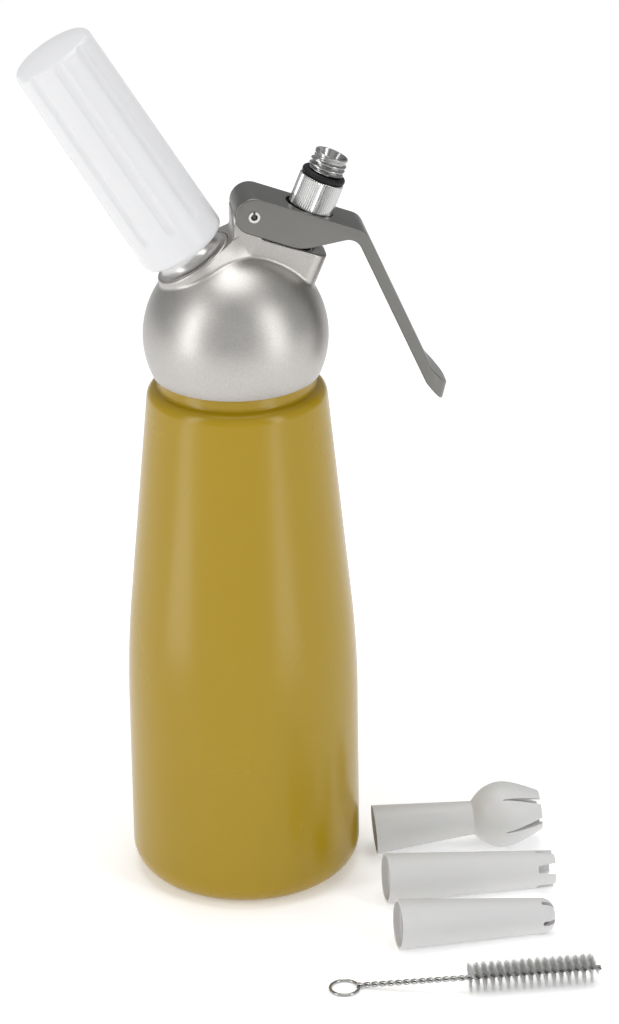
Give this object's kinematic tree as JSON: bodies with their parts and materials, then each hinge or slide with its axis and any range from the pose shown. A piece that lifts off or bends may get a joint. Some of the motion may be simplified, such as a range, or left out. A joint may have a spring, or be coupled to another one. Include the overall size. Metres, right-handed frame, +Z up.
{
  "type": "whipped cream dispenser",
  "caption": "Whipped cream dispenser: painted bottle, cast ball head with lever valve, knurled nozzle adapter, charger holder with gas bulb, decorator tips and brush.",
  "frame": {"origin": "centre of the bottle's flat base, on the surface it stands on", "axes": "+Z up the bottle's axis; +X towards the lever's handle; XZ is the plane of symmetry of the head, lever, adapter and charger holder"},
  "size_m": [0.1826, 0.1558, 0.3166],
  "materials": {
    "paint": "smooth satin-gloss mustard gold paint",
    "seal_rubber": "soft matt",
    "cast_aluminium": "bead-blasted satin",
    "lever_aluminium": "satin grey, smooth",
    "steel": "bright drawn steel",
    "brass": "turned",
    "plated_metal": "bright plated, knurled sleeve",
    "white_plastic": "satin-gloss moulded white",
    "tip_plastic": "soft satin moulded white",
    "bristle_nylon": "fine translucent nylon"
  },
  "bodies": {
    "bottle": {"bottle": "paint"},
    "head_seal": {"head_gasket": "seal_rubber"},
    "head": {"head": "cast_aluminium", "lever_pin": "steel", "charger_inlet": "plated_metal", "piercing_pin": "steel", "inlet_gasket": "seal_rubber", "check_valve_sleeve": "seal_rubber", "piston_bush": "brass", "piston_spring": "steel"},
    "lever": {"lever": "lever_aluminium"},
    "piston": {"piston": "steel", "piston_o_rings": "seal_rubber", "valve_seal": "seal_rubber", "valve_cap": "steel", "nozzle_adapter": "plated_metal", "adapter_o_ring": "seal_rubber", "adapter_gasket": "seal_rubber"},
    "charger": {"gas_charger": "steel"},
    "holder": {"charger_holder": "white_plastic"},
    "tulip_tip": {"tulip_tip": "tip_plastic"},
    "crown_tip": {"crown_tip": "tip_plastic"},
    "dome_tip": {"dome_tip": "tip_plastic"},
    "brush": {"brush_wire": "steel", "brush_bristles": "bristle_nylon"}
  },
  "joints": [
    {"name": "head_lift", "type": "slide", "parent": "bottle", "child": "head_seal", "axis": [0, 0, 1], "range_m": [0, 0.0106]},
    {"name": "head_turn", "type": "hinge", "parent": "head_seal", "child": "head", "pos_m": [0, 0, 0.2], "axis": [0, 0, 1], "range_deg": [0, 1080]},
    {"name": "lever_press", "type": "hinge", "parent": "head", "child": "lever", "pos_m": [0.0062, 0, 0.25065], "axis": [0, 1, 0], "range_deg": [0, 8], "stiffness_Nm_per_rad": 1.5, "springref_deg": -11.46},
    {"name": "piston_travel", "type": "slide", "parent": "head", "child": "piston", "axis": [-0.3803, 0, -0.9249], "range_m": [0, 0.0028], "deforming": ["piston_spring"]},
    {"name": "holder_lift", "type": "slide", "parent": "head", "child": "charger", "axis": [-0.515, 0, 0.8572], "range_m": [0, 0.0161]},
    {"name": "holder_turn", "type": "hinge", "parent": "charger", "child": "holder", "pos_m": [-0.0182, 0, 0.24], "axis": [-0.515, 0, 0.8572], "range_deg": [0, 2880]},
    {"name": "tulip_tip_lift", "type": "slide", "parent": "bottle", "child": "tulip_tip", "axis": [0, 0, 1], "range_m": [0, 0.08]},
    {"name": "crown_tip_lift", "type": "slide", "parent": "bottle", "child": "crown_tip", "axis": [0, 0, 1], "range_m": [0, 0.08]},
    {"name": "dome_tip_lift", "type": "slide", "parent": "bottle", "child": "dome_tip", "axis": [0, 0, 1], "range_m": [0, 0.08]},
    {"name": "brush_lift", "type": "slide", "parent": "bottle", "child": "brush", "axis": [0, 0, 1], "range_m": [0, 0.08]}
  ],
  "couplings": [
    {"joint": "head_lift", "follows": "head_turn", "m_per_rad": 0.00055704},
    {"joint": "piston_travel", "follows": "lever_press", "m_per_rad": 0.019228},
    {"joint": "holder_lift", "follows": "holder_turn", "m_per_rad": 0.00031831}
  ]
}
